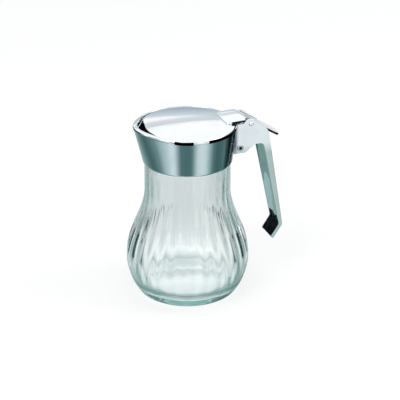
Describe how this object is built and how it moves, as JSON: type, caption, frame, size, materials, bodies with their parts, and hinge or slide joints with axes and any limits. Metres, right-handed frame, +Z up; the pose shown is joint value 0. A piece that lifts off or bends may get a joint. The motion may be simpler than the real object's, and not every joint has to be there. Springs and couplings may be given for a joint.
{
  "type": "honey dispenser",
  "caption": "Fluted glass dispenser jar with a flared metal pouring head, a channel handle and a thumb-lever lid that tips up to pour.",
  "frame": {"origin": "centre of the ring that the glass jar stands on", "axes": "+Z up along the jar's axis, +X towards the handle, the lip pours towards -X, +Y across the hinge pin"},
  "size_m": [0.1101, 0.085, 0.1254],
  "materials": {
    "clear_glass": "clear pressed glass with a faint grey-green tint in the thick base",
    "polished_steel": "polished stainless steel",
    "rivet_steel": "plain bright steel"
  },
  "bodies": {
    "dispenser": {"jar": "clear_glass", "pouring_head": "polished_steel", "handle": "polished_steel", "hinge_pin": "polished_steel", "handle_rivet": "rivet_steel"},
    "lid_lever": {"lid": "polished_steel"}
  },
  "joints": [
    {"name": "lid_hinge", "type": "hinge", "parent": "dispenser", "child": "lid_lever", "pos_m": [0.0426, 0, 0.1207], "axis": [0, 1, 0], "range_deg": [0, 25], "stiffness_Nm_per_rad": 0.06, "springref_deg": -20.05}
  ]
}
